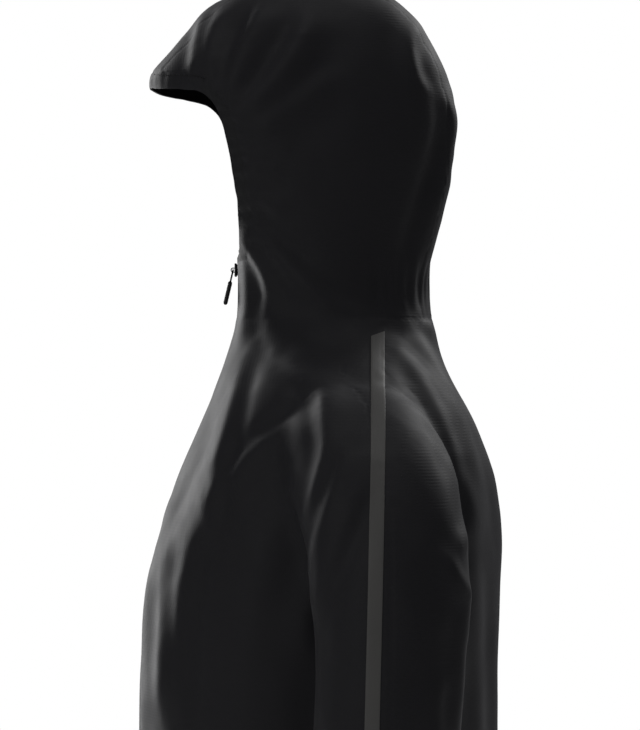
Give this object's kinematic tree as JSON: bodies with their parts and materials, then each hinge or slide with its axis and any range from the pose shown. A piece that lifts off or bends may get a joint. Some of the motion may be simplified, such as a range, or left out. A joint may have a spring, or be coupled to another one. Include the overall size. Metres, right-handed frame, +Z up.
{
  "type": "hardshell jacket",
  "caption": "Hooded waterproof hardshell jacket, closed to the chin, with a stiff-brimmed hood, long sleeves, zipped hand pockets, cuff tabs and a cinched hem.",
  "frame": {"origin": "middle of the wearer's shoulders inside the jacket, 600 mm above the hem edge", "axes": "+Z up, the jacket faces -Y, the wearer's left is +X"},
  "size_m": [0.5964, 0.2959, 0.918],
  "materials": {
    "shell_fabric": "matt black three-layer woven shell with a faint sheen",
    "lining_fabric": "matt dark knit and woven trim",
    "reflective_strip": "dark grey laminated strip, satin",
    "zip_tape_film": "laminated water-resistant tape, satin",
    "moulded_plastic": "moulded, satin black",
    "braided_cord": "black braid",
    "hook_and_loop": "matt black pile"
  },
  "bodies": {
    "jacket": {"front_panel_left": "shell_fabric", "front_panel_right": "shell_fabric", "back_panel": "shell_fabric", "hem_band": "shell_fabric", "hem_facing": "lining_fabric", "hem_drawcord": "braided_cord", "hem_lock_body_left": "moulded_plastic", "hem_lock_body_right": "moulded_plastic", "hood_centre_panel": "shell_fabric", "hood_side_left": "shell_fabric", "hood_side_right": "shell_fabric", "face_binding_left": "lining_fabric", "face_binding_right": "lining_fabric", "hood_brim": "shell_fabric", "nape_elastic": "lining_fabric", "sleeve_front_left": "shell_fabric", "sleeve_back_left": "shell_fabric", "sleeve_front_right": "shell_fabric", "sleeve_back_right": "shell_fabric", "sleeve_strip_left": "reflective_strip", "sleeve_strip_right": "reflective_strip", "shoulder_strip_left": "reflective_strip", "shoulder_strip_right": "reflective_strip", "cuff_left": "shell_fabric", "cuff_right": "shell_fabric", "cuff_loop_pad_left": "hook_and_loop", "cuff_loop_pad_right": "hook_and_loop", "zip_tape_left": "zip_tape_film", "zip_tape_right": "zip_tape_film", "zip_coil_left": "moulded_plastic", "zip_coil_right": "moulded_plastic", "zip_retainer_box": "moulded_plastic", "storm_flap": "shell_fabric", "chin_guard": "lining_fabric", "pocket_tape_left": "zip_tape_film", "pocket_tape_right": "zip_tape_film", "pocket_bag_left": "lining_fabric", "pocket_bag_right": "lining_fabric", "hanger_loop": "lining_fabric"},
    "front_zip_slider": {"front_zip_slider": "moulded_plastic"},
    "front_zip_pull": {"front_zip_pull_cord": "braided_cord", "front_zip_pull_grip": "moulded_plastic"},
    "pocket_zip_slider_left": {"pocket_zip_left_slider": "moulded_plastic"},
    "pocket_zip_pull_left": {"pocket_zip_left_pull_cord": "braided_cord", "pocket_zip_left_pull_grip": "moulded_plastic"},
    "cuff_tab_left": {"cuff_tab_left": "moulded_plastic", "cuff_hook_pad_left": "hook_and_loop"},
    "hem_lock_button_left": {"hem_lock_button_left": "moulded_plastic"},
    "pocket_zip_slider_right": {"pocket_zip_right_slider": "moulded_plastic"},
    "pocket_zip_pull_right": {"pocket_zip_right_pull_cord": "braided_cord", "pocket_zip_right_pull_grip": "moulded_plastic"},
    "cuff_tab_right": {"cuff_tab_right": "moulded_plastic", "cuff_hook_pad_right": "hook_and_loop"},
    "hem_lock_button_right": {"hem_lock_button_right": "moulded_plastic"}
  },
  "joints": [
    {"name": "front_zip_travel", "type": "slide", "parent": "jacket", "child": "front_zip_slider", "axis": [0, 0, 1], "range_m": [-0.033, 0]},
    {"name": "front_zip_pull_swing", "type": "hinge", "parent": "front_zip_slider", "child": "front_zip_pull", "pos_m": [0, -0.0714, 0.071], "axis": [-1, 0, 0], "range_deg": [0, 150]},
    {"name": "pocket_zip_travel_left", "type": "slide", "parent": "jacket", "child": "pocket_zip_slider_left", "axis": [0, 0, 1], "range_m": [-0.16, 0]},
    {"name": "pocket_zip_pull_swing_left", "type": "hinge", "parent": "pocket_zip_slider_left", "child": "pocket_zip_pull_left", "pos_m": [0.10931, -0.13403, -0.316], "axis": [-0.9233, -0.3841, 0], "range_deg": [0, 150]},
    {"name": "cuff_tab_peel_left", "type": "hinge", "parent": "jacket", "child": "cuff_tab_left", "pos_m": [0.26757, 0.04919, -0.53362], "axis": [0, 0.2538, 0.9673], "range_deg": [0, 75]},
    {"name": "hem_lock_press_left", "type": "slide", "parent": "jacket", "child": "hem_lock_button_left", "axis": [-0.6288, 0.7776, 0], "range_m": [0, 0.0025], "stiffness_N_per_m": 300},
    {"name": "pocket_zip_travel_right", "type": "slide", "parent": "jacket", "child": "pocket_zip_slider_right", "axis": [0, 0, 1], "range_m": [-0.16, 0]},
    {"name": "pocket_zip_pull_swing_right", "type": "hinge", "parent": "pocket_zip_slider_right", "child": "pocket_zip_pull_right", "pos_m": [-0.10931, -0.13403, -0.316], "axis": [-0.9233, 0.3841, 0], "range_deg": [0, 150]},
    {"name": "cuff_tab_peel_right", "type": "hinge", "parent": "jacket", "child": "cuff_tab_right", "pos_m": [-0.26757, 0.04919, -0.53362], "axis": [0, -0.2538, -0.9673], "range_deg": [0, 75]},
    {"name": "hem_lock_press_right", "type": "slide", "parent": "jacket", "child": "hem_lock_button_right", "axis": [0.6288, 0.7776, 0], "range_m": [0, 0.0025], "stiffness_N_per_m": 300}
  ]
}
